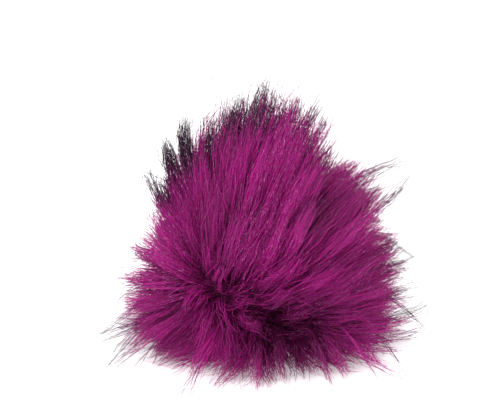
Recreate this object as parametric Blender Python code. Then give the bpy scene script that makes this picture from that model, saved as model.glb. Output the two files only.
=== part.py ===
"""A pom pom of long faux fur that stands on a small flat spot.

Metres, +Z up. The origin is the middle of the flat spot, on the surface that the pom pom stands on, and the
side that is seen first faces -Y.

The pile is modelled as separate locks of fur, whose roots are fused into a round backing. In front it is
parted, and swept away from the parting on both sides. Tables give the outline of the whole pile, how far the
locks are swept, how they settle on the surface, where the pile has hollows, and its long tufts.
"""

import math
import random

import bmesh
import bpy
import numpy as np
from mathutils import Quaternion, Vector, noise

NAME = "pompom"
SEED = 7

# The backing, a lumpy ball with a flat spot.
BALL_RADIUS = 0.034
BALL_MIDDLE = Vector((0, 0, 0.030))
BALL_SUBDIVISIONS = 3
LUMP_DEPTH = 0.0012
LUMP_SIZE = 0.020

# The locks.
LOCK_COUNT = 284
LOWEST_ROOT = math.radians(136)
LOCK_SIDES = 3
LOCK_POINTS = 5
TUFT_POINTS = 6
ROOT_DEPTH = 0.0022
ROOT_RADIUS = 0.0028
BELLY_RADIUS = 0.0034
TIP_RADIUS = 0.0005
BELLY_PLACE = 0.45
TAPER = 1.3
ROOT_JITTER = 0.0008
SHORTEST_LOCK = 0.88
LONGEST_LOCK = 1.05
KNEE_SHARE = 0.42
KNEE_RISE = 0.10
SIDE_BEND = 0.0020
FLOOR_GAP = 0.0003

# Neighbouring locks lean together into larger tufts, and the pile is uneven.
GATHER = 0.0045
GATHER_SIZE = 0.024
UNEVEN_REACH = 0.06
UNEVEN_SIZE = 0.045

# The parting is an arc on the front of the backing, given by the directions of its two ends from the middle.
PARTING_LEFT = Vector((-0.029, -0.034, 0.001)).normalized()
PARTING_RIGHT = Vector((0.017, -0.035, -0.020)).normalized()

# Above the parting the locks spread like a whorl, from a place this share of the way along it.
WHORL_PLACE = 0.45
WHORL_PULL = 0.6
WHORL_EDGE = 0.60

# How far the tip of a lock is swept away from the parting, by how far from it the root is, both in degrees.
SWEEP_COLUMNS = ("from_parting", "swept")
SWEEP = (
    (0.0, 8.0),
    (12.0, 22.0),
    (30.0, 30.0),
    (60.0, 24.0),
    (90.0, 12.0),
    (130.0, 4.0),
    (180.0, 0.0),
)

# How the pile settles on the surface: the angle above the horizon that a swept tip would have, the angle that
# it has, and how far it reaches beside the outline. The lowest locks are shorter.
SETTLE_COLUMNS = ("angle", "settled", "reach")
SETTLE = (
    (-90.0, -24.8, 0.74),
    (-66.0, -24.6, 0.80),
    (-52.0, -24.2, 0.90),
    (-38.0, -22.5, 0.98),
    (-20.0, -15.0, 1.00),
    (0.0, -2.5, 1.00),
    (14.0, 12.0, 1.00),
    (40.0, 40.0, 1.00),
    (90.0, 90.0, 1.00),
)

# The outline of the pile, from the surface up: how far it reaches from its middle, and how far that middle
# leans towards +X.
OUTLINE_COLUMNS = ("height", "reach", "lean")
OUTLINE = (
    (0.0010, 0.0625, 0.0010),
    (0.0080, 0.0650, 0.0010),
    (0.0160, 0.0650, 0.0015),
    (0.0290, 0.0635, 0.0015),
    (0.0420, 0.0600, 0.0020),
    (0.0550, 0.0560, 0.0020),
    (0.0670, 0.0525, 0.0020),
    (0.0780, 0.0480, 0.0025),
    (0.0880, 0.0420, 0.0020),
    (0.0970, 0.0350, 0.0020),
    (0.1040, 0.0270, 0.0035),
    (0.1090, 0.0140, 0.0050),
    (0.1110, 0.0000, 0.0050),
)

# Hollows in the pile: the locks around each one are pushed out of it and are shorter. Each has a radius, and
# another from front to back: the notches between the spikes on the upper left go right through the pile.
HOLLOW_COLUMNS = ("x", "y", "z", "radius", "through", "push", "sink")
HOLLOWS = (
    (0.027, -0.040, 0.066, 0.022, 0.022, 0.0050, 0.20),
    (-0.026, -0.046, 0.060, 0.018, 0.018, 0.0035, 0.14),
    (-0.048, -0.006, 0.056, 0.018, 0.018, 0.0030, 0.06),
    (-0.050, 0.003, 0.077, 0.010, 0.032, 0.0030, 0.26),
    (-0.040, 0.003, 0.092, 0.011, 0.032, 0.0030, 0.26),
    (-0.025, 0.003, 0.102, 0.011, 0.032, 0.0025, 0.22),
    (0.037, 0.000, 0.092, 0.014, 0.030, 0.0030, 0.28),
    (0.053, 0.006, 0.054, 0.016, 0.016, 0.0035, 0.14),
    (-0.014, 0.056, 0.040, 0.022, 0.022, 0.0050, 0.16),
    (0.036, 0.044, 0.030, 0.022, 0.022, 0.0050, 0.14),
)

# The long tufts and wisps: where each tip ends, and how thick the tuft is beside an ordinary lock.
TUFT_COLUMNS = ("x", "y", "z", "thickness")
TUFTS = (
    # Dark spikes on the upper left.
    (-0.0330, 0.0040, 0.1065, 0.60),
    (-0.0345, -0.0010, 0.1000, 1.05),
    (-0.0430, 0.0020, 0.0930, 1.15),
    (-0.0450, -0.0020, 0.0765, 0.75),
    (-0.0530, 0.0000, 0.0800, 0.60),
    # The crown.
    (-0.0190, 0.0000, 0.1030, 0.80),
    (-0.0135, 0.0030, 0.1080, 0.90),
    (-0.0085, 0.0060, 0.1120, 0.70),
    (0.0010, -0.0040, 0.1110, 0.80),
    (0.0055, 0.0040, 0.1155, 0.70),
    (0.0025, 0.0100, 0.1200, 0.45),
    (0.0120, 0.0040, 0.1090, 0.60),
    (0.0180, 0.0050, 0.1110, 0.60),
    (0.0290, 0.0020, 0.1120, 0.50),
    (0.0325, -0.0040, 0.1070, 0.50),
    # The right shoulder and its forked tuft.
    (0.0430, -0.0100, 0.0860, 0.90),
    (0.0675, -0.0020, 0.0840, 0.45),
    (0.0685, -0.0080, 0.0800, 0.45),
    (0.0560, 0.0060, 0.0690, 0.80),
    # The right side, with thin wisps.
    (0.0620, -0.0100, 0.0430, 0.75),
    (0.0720, 0.0020, 0.0350, 0.45),
    (0.0740, -0.0060, 0.0230, 0.50),
    (0.0815, 0.0040, 0.0135, 0.45),
    (0.0785, -0.0100, 0.0040, 0.45),
    # The left side.
    (-0.0635, -0.0040, 0.0270, 0.70),
    (-0.0615, -0.0160, 0.0190, 0.70),
    (-0.0655, 0.0080, 0.0080, 0.55),
    (-0.0760, -0.0160, 0.0020, 0.50),
    # Wisps that lie on the surface in front.
    (-0.0660, -0.0480, 0.0015, 0.50),
    (-0.0320, -0.0790, 0.0015, 0.45),
    (-0.0040, -0.0650, 0.0020, 0.55),
    (0.0180, -0.0610, 0.0020, 0.50),
    (0.0440, -0.0500, 0.0020, 0.50),
    (0.0640, -0.0560, 0.0015, 0.50),
    # The back, which has its own few.
    (0.0500, 0.0600, 0.0015, 0.50),
    (0.0140, 0.0760, 0.0020, 0.50),
    (-0.0460, 0.0600, 0.0015, 0.50),
    (-0.0300, 0.0620, 0.0400, 0.60),
    (0.0340, 0.0560, 0.0560, 0.55),
    (0.0060, 0.0480, 0.0860, 0.60),
    (-0.0240, 0.0360, 0.0960, 0.55),
)

FUR_COLOUR = (0.26, 0.013, 0.14, 1.0)
FUR_ROUGHNESS = 0.6
GOLDEN_ANGLE = math.pi * (3 - math.sqrt(5))


def table_value(table, names, given, wanted, value):
    """Reads one column of a table at a value of another column."""
    rows = np.array(table)
    return float(np.interp(value, rows[:, names.index(given)], rows[:, names.index(wanted)]))


def clear_scene():
    for obj in list(bpy.data.objects):
        bpy.data.objects.remove(obj)


def new_collection(name):
    collection = bpy.data.collections.new(name)
    bpy.context.scene.collection.children.link(collection)
    return collection


def fur_material():
    """Magenta fur, with the soft shine of synthetic fibre."""
    material = bpy.data.materials.new("fur")
    material.use_nodes = True
    shader = material.node_tree.nodes["Principled BSDF"]
    shader.inputs["Base Color"].default_value = FUR_COLOUR
    shader.inputs["Roughness"].default_value = FUR_ROUGHNESS
    shader.inputs["Metallic"].default_value = 0.0
    material.diffuse_color = FUR_COLOUR
    return material


def root_directions(count, lowest, rng):
    """Directions from the middle of the ball, evenly spread from its top down to the lowest root."""
    directions = []
    for index in range(count):
        rise = 1 - (index + 0.5) / count * (1 - math.cos(lowest))
        reach = math.sqrt(1 - rise * rise)
        turn = index * GOLDEN_ANGLE
        direction = Vector((reach * math.cos(turn), reach * math.sin(turn), rise))
        jitter = Vector((rng.uniform(-1, 1), rng.uniform(-1, 1), rng.uniform(-1, 1)))
        directions.append((direction + jitter * (ROOT_JITTER / BALL_RADIUS)).normalized())
    return directions


def smooth_noise(place, size):
    """A slowly changing vector, each part of it between about -1 and 1."""
    return noise.noise_vector(place / size)


def nearest_parting(direction):
    """How far along the parting the nearest place is, from 0 to 1, and the angle to it in degrees."""
    arc = PARTING_RIGHT - PARTING_LEFT
    share = max(0.0, min(1.0, (direction - PARTING_LEFT).dot(arc) / arc.length_squared))
    return share, math.degrees(direction.angle(PARTING_LEFT + arc * share))


def sweep_from_parting(direction):
    """Turns a direction away from the parting: straight below it, and like a whorl above it."""
    share, away = nearest_parting(direction)
    above = direction.dot(PARTING_LEFT.cross(PARTING_RIGHT).normalized())
    whorl = WHORL_PULL * max(0.0, min(1.0, above / WHORL_EDGE))
    source = PARTING_LEFT.lerp(PARTING_RIGHT, share + (WHORL_PLACE - share) * whorl)
    swept = table_value(SWEEP, SWEEP_COLUMNS, "from_parting", "swept", away)
    return Quaternion(source.cross(direction), math.radians(swept)) @ direction


def outline_point(turn, angle):
    """The point of the pile's outline at an angle above the horizon, seen from the backing's middle."""
    heights, reaches, leans = np.array(OUTLINE).T
    angles = np.degrees(np.arctan2(heights - BALL_MIDDLE.z, reaches))
    height, reach, lean = (float(np.interp(angle, angles, values)) for values in (heights, reaches, leans))
    return Vector((lean + reach * math.cos(turn), reach * math.sin(turn), height))


def leave_hollows(tip):
    """Pushes a tip out of the hollows that it lies near, and draws it in a little."""
    shift = Vector()
    length = 1.0
    for row in HOLLOWS:
        hollow = dict(zip(HOLLOW_COLUMNS, row))
        away = tip - Vector((hollow["x"], hollow["y"], hollow["z"]))
        away.y *= hollow["radius"] / hollow["through"]
        near = max(0.0, 1 - away.length / hollow["radius"])
        shift += away.normalized() * (hollow["push"] * math.sin(math.pi * near))
        length -= hollow["sink"] * near
    return BALL_MIDDLE + (tip + shift - BALL_MIDDLE) * length


def combed_tip(direction, length):
    """Where a lock that grows in a direction ends: on the outline, or a little inside or outside it."""
    swept = sweep_from_parting(direction)
    turn = math.atan2(swept.y, swept.x)
    angle = math.degrees(math.asin(max(-1.0, min(1.0, swept.z))))
    settled = table_value(SETTLE, SETTLE_COLUMNS, "angle", "settled", angle)
    reach = table_value(SETTLE, SETTLE_COLUMNS, "angle", "reach", angle)
    tip = outline_point(turn, settled)
    uneven = length + UNEVEN_REACH * smooth_noise(tip, UNEVEN_SIZE).x
    tip += smooth_noise(tip, GATHER_SIZE) * GATHER
    return leave_hollows(BALL_MIDDLE + (tip - BALL_MIDDLE) * (uneven * reach))


def take_over_nearest(tips, aim, taken):
    """The free lock whose tip is nearest to the tip that a tuft should have."""
    order = sorted(range(len(tips)), key=lambda index: (tips[index] - aim).length)
    return next(index for index in order if index not in taken)


def lock_radius(place, thickness):
    """The radius of a lock: it fills out to its belly and tapers to its tip."""
    belly = max(BELLY_RADIUS * thickness, TIP_RADIUS)
    root = ROOT_RADIUS * math.sqrt(thickness)
    if place < BELLY_PLACE:
        return root + (belly - root) * place / BELLY_PLACE
    share = (place - BELLY_PLACE) / (1 - BELLY_PLACE)
    return belly + (TIP_RADIUS - belly) * share**TAPER


def lock_path(direction, tip, thickness, count, rng):
    """Points and radii of one lock: it leaves the backing straight, rises a little and bends to its tip."""
    root = BALL_MIDDLE + direction * BALL_RADIUS
    along = tip - root
    level = math.hypot(along.x, along.y)
    knee = root + direction * (along.length * KNEE_SHARE)
    knee.z += level * KNEE_RISE
    knee += direction.cross(along).normalized() * rng.uniform(-SIDE_BEND, SIDE_BEND)
    start = root - direction * ROOT_DEPTH
    points = []
    for step in range(count):
        place = step / (count - 1)
        point = start * (1 - place) ** 2 + knee * (2 * place * (1 - place)) + tip * place**2
        radius = lock_radius(place, thickness)
        point.z = max(point.z, radius + FLOOR_GAP)
        points.append((point, radius))
    return points


def all_locks():
    """The paths of all the locks, ordinary ones and tufts."""
    rng = random.Random(SEED)
    directions = root_directions(LOCK_COUNT, LOWEST_ROOT, rng)
    tips = [combed_tip(direction, rng.uniform(SHORTEST_LOCK, LONGEST_LOCK)) for direction in directions]
    thickness = {}
    for row in TUFTS:
        tuft = dict(zip(TUFT_COLUMNS, row))
        aim = Vector((tuft["x"], tuft["y"], tuft["z"]))
        index = take_over_nearest(tips, aim, thickness)
        tips[index] = aim
        thickness[index] = tuft["thickness"]
    paths = []
    for index, (direction, tip) in enumerate(zip(directions, tips)):
        count = TUFT_POINTS if index in thickness else LOCK_POINTS
        paths.append(lock_path(direction, tip, thickness.get(index, 1.0), count, rng))
    return paths


def make_backing(material, collection):
    """The ball that the pile grows on, a little lumpy and cut flat where it stands."""
    mesh = bpy.data.meshes.new(NAME)
    shape = bmesh.new()
    bmesh.ops.create_icosphere(shape, subdivisions=BALL_SUBDIVISIONS, radius=BALL_RADIUS)
    for vertex in shape.verts:
        lump = noise.noise(vertex.co / LUMP_SIZE)
        vertex.co += vertex.co.normalized() * lump * LUMP_DEPTH
        vertex.co += BALL_MIDDLE
    everything = shape.verts[:] + shape.edges[:] + shape.faces[:]
    cut = bmesh.ops.bisect_plane(
        shape, geom=everything, plane_co=(0, 0, 0), plane_no=(0, 0, 1), clear_inner=True
    )
    rim = [item for item in cut["geom_cut"] if isinstance(item, bmesh.types.BMEdge)]
    bmesh.ops.edgeloop_fill(shape, edges=rim)
    bmesh.ops.recalc_face_normals(shape, faces=shape.faces)
    shape.to_mesh(mesh)
    shape.free()
    mesh.materials.append(material)
    backing = bpy.data.objects.new(NAME, mesh)
    collection.objects.link(backing)
    return backing


def make_section(collection):
    """The small outline that is swept along each lock."""
    data = bpy.data.curves.new("lock_section", "CURVE")
    data.dimensions = "2D"
    spline = data.splines.new("POLY")
    spline.points.add(LOCK_SIDES - 1)
    for side, point in enumerate(spline.points):
        turn = side * math.tau / LOCK_SIDES
        point.co = (math.cos(turn), math.sin(turn), 0, 1)
    spline.use_cyclic_u = True
    section = bpy.data.objects.new("lock_section", data)
    section.hide_render = True
    section.display_type = "WIRE"
    collection.objects.link(section)
    return section


def make_locks(section, collection):
    """All the locks as one mesh of closed tubes."""
    data = bpy.data.curves.new("locks", "CURVE")
    data.dimensions = "3D"
    data.bevel_mode = "OBJECT"
    data.bevel_object = section
    data.use_fill_caps = True
    for path in all_locks():
        spline = data.splines.new("POLY")
        spline.points.add(len(path) - 1)
        for point, (place, radius) in zip(spline.points, path):
            point.co = (*place, 1)
            point.radius = radius
    curve = bpy.data.objects.new("locks", data)
    collection.objects.link(curve)
    bpy.context.view_layer.update()
    graph = bpy.context.evaluated_depsgraph_get()
    mesh = bpy.data.meshes.new_from_object(curve.evaluated_get(graph))
    shape = bmesh.new()
    shape.from_mesh(mesh)
    bmesh.ops.remove_doubles(shape, verts=shape.verts, dist=0.00001)
    bmesh.ops.recalc_face_normals(shape, faces=shape.faces)
    shape.to_mesh(mesh)
    shape.free()
    locks = bpy.data.objects.new("lock_tubes", mesh)
    locks.matrix_world = curve.matrix_world
    locks.hide_render = True
    locks.display_type = "WIRE"
    collection.objects.link(locks)
    bpy.data.objects.remove(curve)
    return locks


def fuse(backing, locks):
    """Grows the locks out of the backing."""
    union = backing.modifiers.new("roots", "BOOLEAN")
    union.operation = "UNION"
    union.solver = "EXACT"
    union.use_self = True
    union.object = locks


def main():
    clear_scene()
    noise.seed_set(SEED)
    collection = new_collection(NAME)
    helpers = new_collection("helpers")
    backing = make_backing(fur_material(), collection)
    fuse(backing, make_locks(make_section(helpers), helpers))


main()
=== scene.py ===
"""Dresses the pom pom: hair by hair, on the locks of the solid model, with a plain stage around it."""

import math
import random

import bmesh
import bpy
import numpy as np
from bpy.props import FloatProperty, FloatVectorProperty, IntProperty, PointerProperty
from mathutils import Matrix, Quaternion, Vector, noise
from mathutils.kdtree import KDTree


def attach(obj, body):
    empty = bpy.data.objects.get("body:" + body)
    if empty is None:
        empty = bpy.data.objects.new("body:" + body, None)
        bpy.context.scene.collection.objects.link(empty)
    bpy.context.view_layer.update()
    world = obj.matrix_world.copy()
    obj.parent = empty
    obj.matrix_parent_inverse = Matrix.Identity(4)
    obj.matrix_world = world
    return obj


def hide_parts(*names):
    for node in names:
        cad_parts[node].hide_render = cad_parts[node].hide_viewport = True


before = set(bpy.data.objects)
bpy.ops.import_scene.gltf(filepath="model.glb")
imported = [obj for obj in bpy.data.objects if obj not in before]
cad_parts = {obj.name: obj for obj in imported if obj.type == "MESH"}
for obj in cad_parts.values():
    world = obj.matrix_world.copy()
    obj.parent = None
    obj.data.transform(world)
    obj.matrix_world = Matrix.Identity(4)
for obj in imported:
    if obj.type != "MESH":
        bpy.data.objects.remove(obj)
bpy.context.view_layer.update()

bl_info = {
    "name": "Faux Fur Pom Pom",
    "version": (1, 0, 0),
    "blender": (4, 5, 0),
    "location": "View3D > Sidebar > Pom Pom",
    "description": "Builds a pom pom of long faux fur, hair by hair, on a plain stage",
    "category": "Object",
}

NODE = "pompom"
BODY = "root"

# The backing that the pile grows on.
BALL_RADIUS = 0.034
BALL_MIDDLE = Vector((0, 0, 0.030))
LUMP_DEPTH = 0.0012
LUMP_SIZE = 0.020
UNDERFUR_STEPS = 4
UNDERFUR_GRAIN = 0.0008
UNDERFUR_GRAIN_SIZE = 0.003

# The main locks.
LOCK_SEED = 7
LOCK_COUNT = 284
LOWEST_ROOT = math.radians(136)
ROOT_DEPTH = 0.0022
ROOT_RADIUS = 0.0028
BELLY_RADIUS = 0.0034
TIP_RADIUS = 0.0005
BELLY_PLACE = 0.45
TAPER = 1.3
ROOT_JITTER = 0.0008
SHORTEST_LOCK = 0.88
LONGEST_LOCK = 1.05
KNEE_SHARE = 0.42
KNEE_RISE = 0.10
SIDE_BEND = 0.0020
FLOOR_GAP = 0.0003

# Neighbouring locks lean together into larger tufts, and the pile is uneven.
GATHER = 0.0045
GATHER_SIZE = 0.024
UNEVEN_REACH = 0.06
UNEVEN_SIZE = 0.045

# The parting is an arc on the front of the ball, from its left end to its right end.
PARTING_LEFT = Vector((-0.029, -0.034, 0.001)).normalized()
PARTING_RIGHT = Vector((0.017, -0.035, -0.020)).normalized()

# Above the parting the locks spread like a whorl, from a place this share of the way along it.
WHORL_PLACE = 0.45
WHORL_PULL = 0.6
WHORL_EDGE = 0.60

# How far a lock's tip is swept away from the parting, by how far from the parting its root is, in degrees.
SWEEP_COLUMNS = ("from_parting", "swept")
SWEEP = (
    (0.0, 8.0),
    (12.0, 22.0),
    (30.0, 30.0),
    (60.0, 24.0),
    (90.0, 12.0),
    (130.0, 4.0),
    (180.0, 0.0),
)

# How the pile settles on the surface: the angle above the horizon that a tip would have, the angle that it
# has, and how far it reaches beside the outline. The lowest locks are shorter.
SETTLE_COLUMNS = ("angle", "settled", "reach")
SETTLE = (
    (-90.0, -24.8, 0.74),
    (-66.0, -24.6, 0.80),
    (-52.0, -24.2, 0.90),
    (-38.0, -22.5, 0.98),
    (-20.0, -15.0, 1.00),
    (0.0, -2.5, 1.00),
    (14.0, 12.0, 1.00),
    (40.0, 40.0, 1.00),
    (90.0, 90.0, 1.00),
)

# The outline of the pile, from the surface up: how far it reaches from its middle, and how far that middle
# leans towards +X.
OUTLINE_COLUMNS = ("height", "reach", "lean")
OUTLINE = (
    (0.0010, 0.0625, 0.0010),
    (0.0080, 0.0650, 0.0010),
    (0.0160, 0.0650, 0.0015),
    (0.0290, 0.0635, 0.0015),
    (0.0420, 0.0600, 0.0020),
    (0.0550, 0.0560, 0.0020),
    (0.0670, 0.0525, 0.0020),
    (0.0780, 0.0480, 0.0025),
    (0.0880, 0.0420, 0.0020),
    (0.0970, 0.0350, 0.0020),
    (0.1040, 0.0270, 0.0035),
    (0.1090, 0.0140, 0.0050),
    (0.1110, 0.0000, 0.0050),
)

# Hollows in the pile: the locks around each one are pushed out of it and are shorter. Each has a radius, and
# another from front to back: the notches between the spikes on the upper left go right through the pile.
HOLLOW_COLUMNS = ("x", "y", "z", "radius", "through", "push", "sink")
HOLLOWS = (
    (0.027, -0.040, 0.066, 0.022, 0.022, 0.0050, 0.20),
    (-0.026, -0.046, 0.060, 0.018, 0.018, 0.0035, 0.14),
    (-0.048, -0.006, 0.056, 0.018, 0.018, 0.0030, 0.06),
    (-0.050, 0.003, 0.077, 0.010, 0.032, 0.0030, 0.26),
    (-0.040, 0.003, 0.092, 0.011, 0.032, 0.0030, 0.26),
    (-0.025, 0.003, 0.102, 0.011, 0.032, 0.0025, 0.22),
    (0.037, 0.000, 0.092, 0.014, 0.030, 0.0030, 0.28),
    (0.053, 0.006, 0.054, 0.016, 0.016, 0.0035, 0.14),
    (-0.014, 0.056, 0.040, 0.022, 0.022, 0.0050, 0.16),
    (0.036, 0.044, 0.030, 0.022, 0.022, 0.0050, 0.14),
)

# The notches between the spikes on the upper left.
NOTCHES = HOLLOWS[3:6]

# The long tufts and wisps: where each tip ends, how thick the tuft is beside an ordinary lock, and how dark
# its tip is.
TUFT_COLUMNS = ("x", "y", "z", "thickness", "dark")
TUFTS = (
    # Dark spikes on the upper left.
    (-0.0330, 0.0040, 0.1065, 0.60, 1.0),
    (-0.0345, -0.0010, 0.1000, 1.05, 1.0),
    (-0.0430, 0.0020, 0.0930, 1.15, 1.0),
    (-0.0450, -0.0020, 0.0765, 0.75, 0.9),
    (-0.0530, 0.0000, 0.0800, 0.60, 0.9),
    # The crown.
    (-0.0190, 0.0000, 0.1030, 0.80, 1.0),
    (-0.0135, 0.0030, 0.1080, 0.90, 1.0),
    (-0.0085, 0.0060, 0.1120, 0.70, 0.9),
    (0.0010, -0.0040, 0.1110, 0.80, 0.9),
    (0.0055, 0.0040, 0.1155, 0.70, 0.9),
    (0.0025, 0.0100, 0.1200, 0.45, 0.8),
    (0.0120, 0.0040, 0.1090, 0.60, 0.7),
    (0.0180, 0.0050, 0.1110, 0.60, 0.5),
    (0.0290, 0.0020, 0.1120, 0.50, 0.6),
    (0.0325, -0.0040, 0.1070, 0.50, 0.4),
    # The right shoulder and its forked tuft.
    (0.0430, -0.0100, 0.0860, 0.90, 0.0),
    (0.0675, -0.0020, 0.0840, 0.45, 0.7),
    (0.0685, -0.0080, 0.0800, 0.45, 0.7),
    (0.0560, 0.0060, 0.0690, 0.80, 0.0),
    # The right side, with thin wisps.
    (0.0620, -0.0100, 0.0430, 0.75, 0.1),
    (0.0720, 0.0020, 0.0350, 0.45, 0.7),
    (0.0740, -0.0060, 0.0230, 0.50, 0.9),
    (0.0815, 0.0040, 0.0135, 0.45, 0.9),
    (0.0785, -0.0100, 0.0040, 0.45, 0.9),
    # The left side.
    (-0.0635, -0.0040, 0.0270, 0.70, 0.1),
    (-0.0615, -0.0160, 0.0190, 0.70, 0.1),
    (-0.0655, 0.0080, 0.0080, 0.55, 0.3),
    (-0.0760, -0.0160, 0.0020, 0.50, 0.9),
    # Wisps that lie on the surface in front.
    (-0.0660, -0.0480, 0.0015, 0.50, 0.7),
    (-0.0320, -0.0790, 0.0015, 0.45, 0.7),
    (-0.0040, -0.0650, 0.0020, 0.55, 0.1),
    (0.0180, -0.0610, 0.0020, 0.50, 0.1),
    (0.0440, -0.0500, 0.0020, 0.50, 0.1),
    (0.0640, -0.0560, 0.0015, 0.50, 0.9),
    # The back, which has its own few.
    (0.0500, 0.0600, 0.0015, 0.50, 0.8),
    (0.0140, 0.0760, 0.0020, 0.50, 0.6),
    (-0.0460, 0.0600, 0.0015, 0.50, 0.7),
    (-0.0300, 0.0620, 0.0400, 0.60, 0.4),
    (0.0340, 0.0560, 0.0560, 0.55, 0.6),
    (0.0060, 0.0480, 0.0860, 0.60, 0.5),
    (-0.0240, 0.0360, 0.0960, 0.55, 0.8),
)

# Where the pile is in shade or catches the light: each patch's middle and radius, and how much darker it is.
PATCH_COLUMNS = ("x", "y", "z", "radius", "shade")
PATCHES = (
    (0.006, -0.052, 0.022, 0.024, 0.62),
    (0.023, -0.054, 0.028, 0.020, 0.28),
    (0.022, -0.056, 0.012, 0.022, 0.34),
    (-0.036, -0.050, 0.026, 0.014, 0.22),
    (0.028, -0.034, 0.070, 0.018, 0.50),
    (0.046, -0.044, 0.024, 0.018, 0.25),
    (-0.026, -0.040, 0.072, 0.014, 0.20),
    (-0.028, -0.048, 0.044, 0.020, -0.35),
    (0.030, -0.046, 0.050, 0.016, -0.20),
    (-0.008, -0.030, 0.082, 0.018, -0.10),
    (-0.050, -0.040, 0.010, 0.018, -0.12),
)

# Strands that curve out of the pile by themselves: where each tip ends, how far it bends up, how many hairs
# it has and how dark its tip is.
WISP_COLUMNS = ("x", "y", "z", "bend", "hairs", "dark")
WISPS = (
    # The right side.
    (0.0725, 0.0000, 0.0343, 0.011, 9, 1.0),
    (0.0700, -0.0020, 0.0275, 0.010, 7, 1.0),
    (0.0745, 0.0000, 0.0196, 0.006, 7, 1.0),
    (0.0670, -0.0060, 0.0165, 0.004, 6, 1.0),
    (0.0765, -0.0100, 0.0040, 0.009, 8, 1.0),
    (0.0610, -0.0040, 0.0480, 0.002, 45, 0.2),
    (0.0640, -0.0020, 0.0420, -0.004, 40, 0.4),
    (0.0590, -0.0080, 0.0360, 0.000, 40, 0.1),
    (0.0560, -0.0060, 0.0560, 0.004, 24, 0.5),
    (0.0590, -0.0100, 0.0740, 0.006, 5, 0.8),
    # The foot.
    (0.0640, -0.0560, 0.0012, 0.010, 7, 1.0),
    (0.0520, -0.0640, 0.0012, 0.007, 6, 1.0),
    (0.0300, -0.0660, 0.0012, 0.005, 20, 0.2),
    (0.0380, -0.0580, 0.0020, 0.004, 40, 0.1),
    (0.0520, -0.0460, 0.0020, 0.004, 40, 0.1),
    (0.0100, -0.0640, 0.0020, 0.004, 30, 0.1),
    (-0.0010, -0.0690, 0.0015, 0.003, 40, 0.0),
    (-0.0480, -0.0400, 0.0020, 0.004, 40, 0.1),
    (-0.0580, -0.0260, 0.0030, 0.004, 40, 0.1),
    (-0.0698, -0.0510, 0.0012, 0.008, 10, 1.0),
    (-0.0590, -0.0600, 0.0012, 0.006, 5, 1.0),
    (-0.0330, -0.0780, 0.0012, 0.005, 6, 1.0),
    # The left side.
    (-0.0720, 0.0000, 0.0095, 0.007, 7, 1.0),
    (-0.0745, -0.0180, 0.0030, 0.005, 8, 1.0),
    (-0.0640, 0.0020, 0.0300, 0.005, 5, 0.7),
    (-0.0500, 0.0000, 0.0560, 0.008, 6, 0.5),
    (-0.0560, -0.0020, 0.0790, 0.006, 5, 1.0),
    # The crown.
    (-0.0120, 0.0000, 0.1060, 0.000, 60, 1.0),
    (-0.0160, 0.0020, 0.1040, 0.000, 50, 1.0),
    (-0.0070, 0.0020, 0.1110, 0.000, 40, 1.0),
    (0.0020, 0.0020, 0.1190, 0.000, 6, 1.0),
    (0.0060, 0.0000, 0.1170, 0.000, 10, 1.0),
    (0.0260, 0.0000, 0.1120, 0.002, 12, 0.6),
    (0.0220, 0.0040, 0.1080, 0.002, 30, 0.4),
    (0.0150, 0.0000, 0.1120, 0.002, 20, 0.7),
    (0.0300, 0.0020, 0.1040, 0.002, 20, 0.4),
    # The back.
    (0.0000, 0.0740, 0.0012, 0.005, 7, 1.0),
    (-0.0600, 0.0480, 0.0012, 0.005, 7, 1.0),
    (0.0640, 0.0420, 0.0012, 0.005, 7, 1.0),
)

GOLDEN_ANGLE = math.pi * (3 - math.sqrt(5))

# The vector noise would otherwise differ each run. This is also the seed of the solid model's noise.
noise.seed_set(LOCK_SEED)


# Where the pile grows and how it lies.


def table_value(table, names, given, wanted, value):
    """Reads one column of a table at a value of another column."""
    rows = np.array(table)
    return float(np.interp(value, rows[:, names.index(given)], rows[:, names.index(wanted)]))


def named_rows(names, table):
    """The rows of a table, each with its values by column name."""
    return [dict(zip(names, row)) for row in table]


def row_place(row):
    """The place that a row gives."""
    return Vector((row["x"], row["y"], row["z"]))


def root_directions(count, lowest, jitter, rng):
    """Directions from the middle of the ball, evenly spread from its top down to the lowest root."""
    directions = []
    for index in range(count):
        rise = 1 - (index + 0.5) / count * (1 - math.cos(lowest))
        reach = math.sqrt(1 - rise * rise)
        turn = index * GOLDEN_ANGLE
        direction = Vector((reach * math.cos(turn), reach * math.sin(turn), rise))
        shake = Vector((rng.uniform(-1, 1), rng.uniform(-1, 1), rng.uniform(-1, 1)))
        directions.append((direction + shake * (jitter / BALL_RADIUS)).normalized())
    return directions


def smooth_noise(place, size):
    """A slowly changing vector, each part of it between about -1 and 1."""
    return noise.noise_vector(place / size)


def nearest_parting(direction):
    """How far along the parting the nearest place is, from 0 to 1, and the angle to it in degrees."""
    arc = PARTING_RIGHT - PARTING_LEFT
    share = max(0.0, min(1.0, (direction - PARTING_LEFT).dot(arc) / arc.length_squared))
    return share, math.degrees(direction.angle(PARTING_LEFT + arc * share))


def sweep_from_parting(direction):
    """Turns a direction away from the parting: straight below it, and like a whorl above it."""
    share, away = nearest_parting(direction)
    above = direction.dot(PARTING_LEFT.cross(PARTING_RIGHT).normalized())
    whorl = WHORL_PULL * max(0.0, min(1.0, above / WHORL_EDGE))
    source = PARTING_LEFT.lerp(PARTING_RIGHT, share + (WHORL_PLACE - share) * whorl)
    swept = table_value(SWEEP, SWEEP_COLUMNS, "from_parting", "swept", away)
    return Quaternion(source.cross(direction), math.radians(swept)) @ direction


def outline_point(turn, angle):
    """The point of the pile's outline at an angle above the horizon, seen from the middle of the ball."""
    outline = dict(zip(OUTLINE_COLUMNS, np.array(OUTLINE).T))
    angles = np.degrees(np.arctan2(outline["height"] - BALL_MIDDLE.z, outline["reach"]))
    height, reach, lean = (float(np.interp(angle, angles, outline[name])) for name in OUTLINE_COLUMNS)
    return Vector((lean + reach * math.cos(turn), reach * math.sin(turn), height))


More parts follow.
